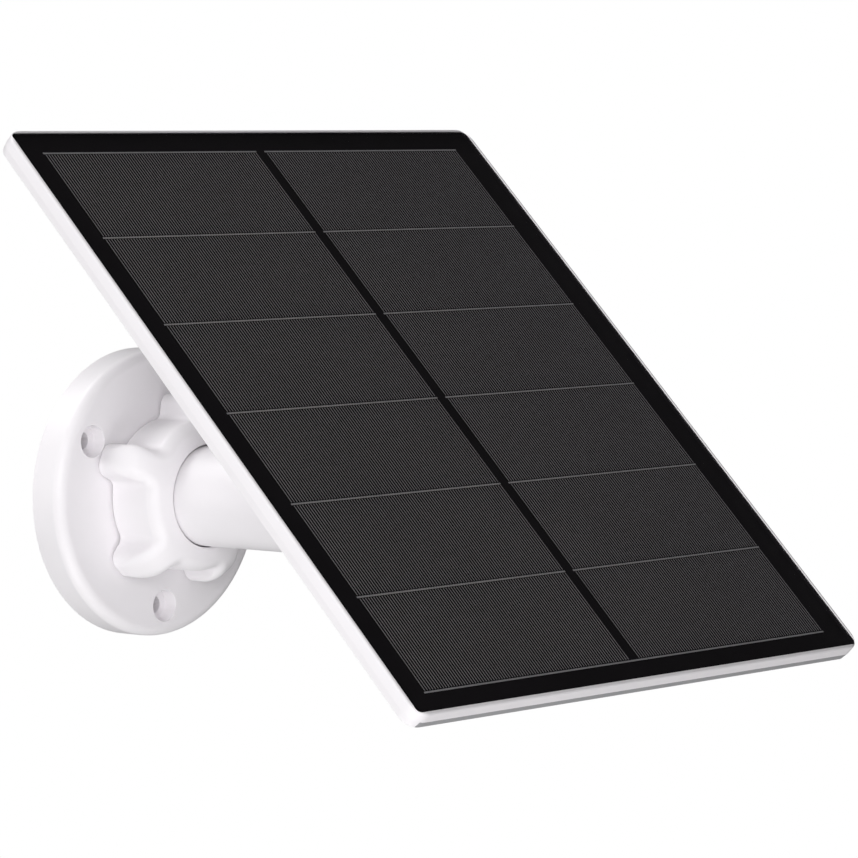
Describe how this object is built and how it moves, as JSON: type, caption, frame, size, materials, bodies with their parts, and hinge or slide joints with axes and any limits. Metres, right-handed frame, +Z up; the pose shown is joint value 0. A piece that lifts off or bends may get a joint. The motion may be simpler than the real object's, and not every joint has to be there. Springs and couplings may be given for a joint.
{
  "type": "solar panel with wall bracket",
  "caption": "Small outdoor solar panel that charges a security camera, on a round wall plate with a clamped swivel arm and a tilt hinge.",
  "frame": {"origin": "centre of the wall plate's back face, on the swivel axis", "axes": "+Z up; +Y into the wall; the object stands out towards -Y; +X along the width of the panel"},
  "size_m": [0.1694, 0.1709, 0.1328],
  "materials": {
    "white_shell": "satin moulded plastic",
    "clear_cover": "smooth clear cover",
    "black_backing": "smooth black sheet",
    "solar_cell": "dark silicon with fine printed lines",
    "tinned_ribbon": "tinned copper strip",
    "copper_tab": "bare copper strip",
    "black_seal": "black sealing rubber",
    "zinc_steel": "zinc-plated steel",
    "nylon": "natural nylon",
    "black_polymer": "black moulded polymer",
    "board_green": "solder mask",
    "ferrite": "pressed ferrite",
    "ceramic_tan": "ceramic",
    "gilt_contact": "gilt contact",
    "grey_trim": "fine-grained grey plastic",
    "silicone_white": "soft silicone"
  },
  "bodies": {
    "base": {"wall_plate": "white_shell", "thrust_washer": "nylon"},
    "ring": {"clamp_ring": "black_polymer"},
    "knob": {"clamp_knob": "white_shell"},
    "arm": {"swivel_arm": "white_shell"},
    "panel": {"hinge_bracket": "white_shell", "tilt_bolt": "zinc_steel", "tilt_nut": "zinc_steel", "friction_washers": "black_polymer", "bracket_screws": "zinc_steel", "panel_frame": "white_shell", "cover_glass": "clear_cover", "backing_sheet": "black_backing", "edge_seal": "black_seal", "cell_ribbons": "tinned_ribbon", "lead_tabs": "copper_tab", "back_cover": "white_shell", "lower_trim": "grey_trim", "cover_gasket": "black_seal", "cover_screws": "zinc_steel", "charge_board": "board_green", "board_screws": "zinc_steel", "regulator_chip": "black_polymer", "inductor": "ferrite", "capacitors": "ceramic_tan", "blocking_diode": "black_polymer", "socket_shell": "zinc_steel", "socket_insulator": "black_polymer", "socket_contacts": "gilt_contact", "port_hinge_pin": "zinc_steel", "solar_cell_01": "solar_cell", "solar_cell_02": "solar_cell", "solar_cell_03": "solar_cell", "solar_cell_04": "solar_cell", "solar_cell_05": "solar_cell", "solar_cell_06": "solar_cell", "solar_cell_07": "solar_cell", "solar_cell_08": "solar_cell", "solar_cell_09": "solar_cell", "solar_cell_10": "solar_cell", "solar_cell_11": "solar_cell", "solar_cell_12": "solar_cell"},
    "flap": {"port_cover": "silicone_white"}
  },
  "joints": [
    {"name": "ring_press", "type": "slide", "parent": "base", "child": "ring", "axis": [0, -1, 0], "range_m": [0, 0.0031]},
    {"name": "knob_turn", "type": "hinge", "parent": "ring", "child": "knob", "pos_m": [0, 0, 0], "axis": [0, -1, 0], "range_deg": [0, 360]},
    {"name": "arm_swivel", "type": "hinge", "parent": "base", "child": "arm", "pos_m": [0, 0, 0], "axis": [0, -1, 0], "continuous": true},
    {"name": "panel_tilt", "type": "hinge", "parent": "arm", "child": "panel", "pos_m": [0, -0.0772, 0], "axis": [1, 0, 0], "range_deg": [-20, 45]},
    {"name": "port_flap", "type": "hinge", "parent": "panel", "child": "flap", "pos_m": [0, -0.13342, -0.01336], "axis": [1, 0, 0], "range_deg": [0, 90]}
  ],
  "couplings": [
    {"joint": "ring_press", "follows": "knob_turn", "m_per_rad": 0.00047746}
  ]
}
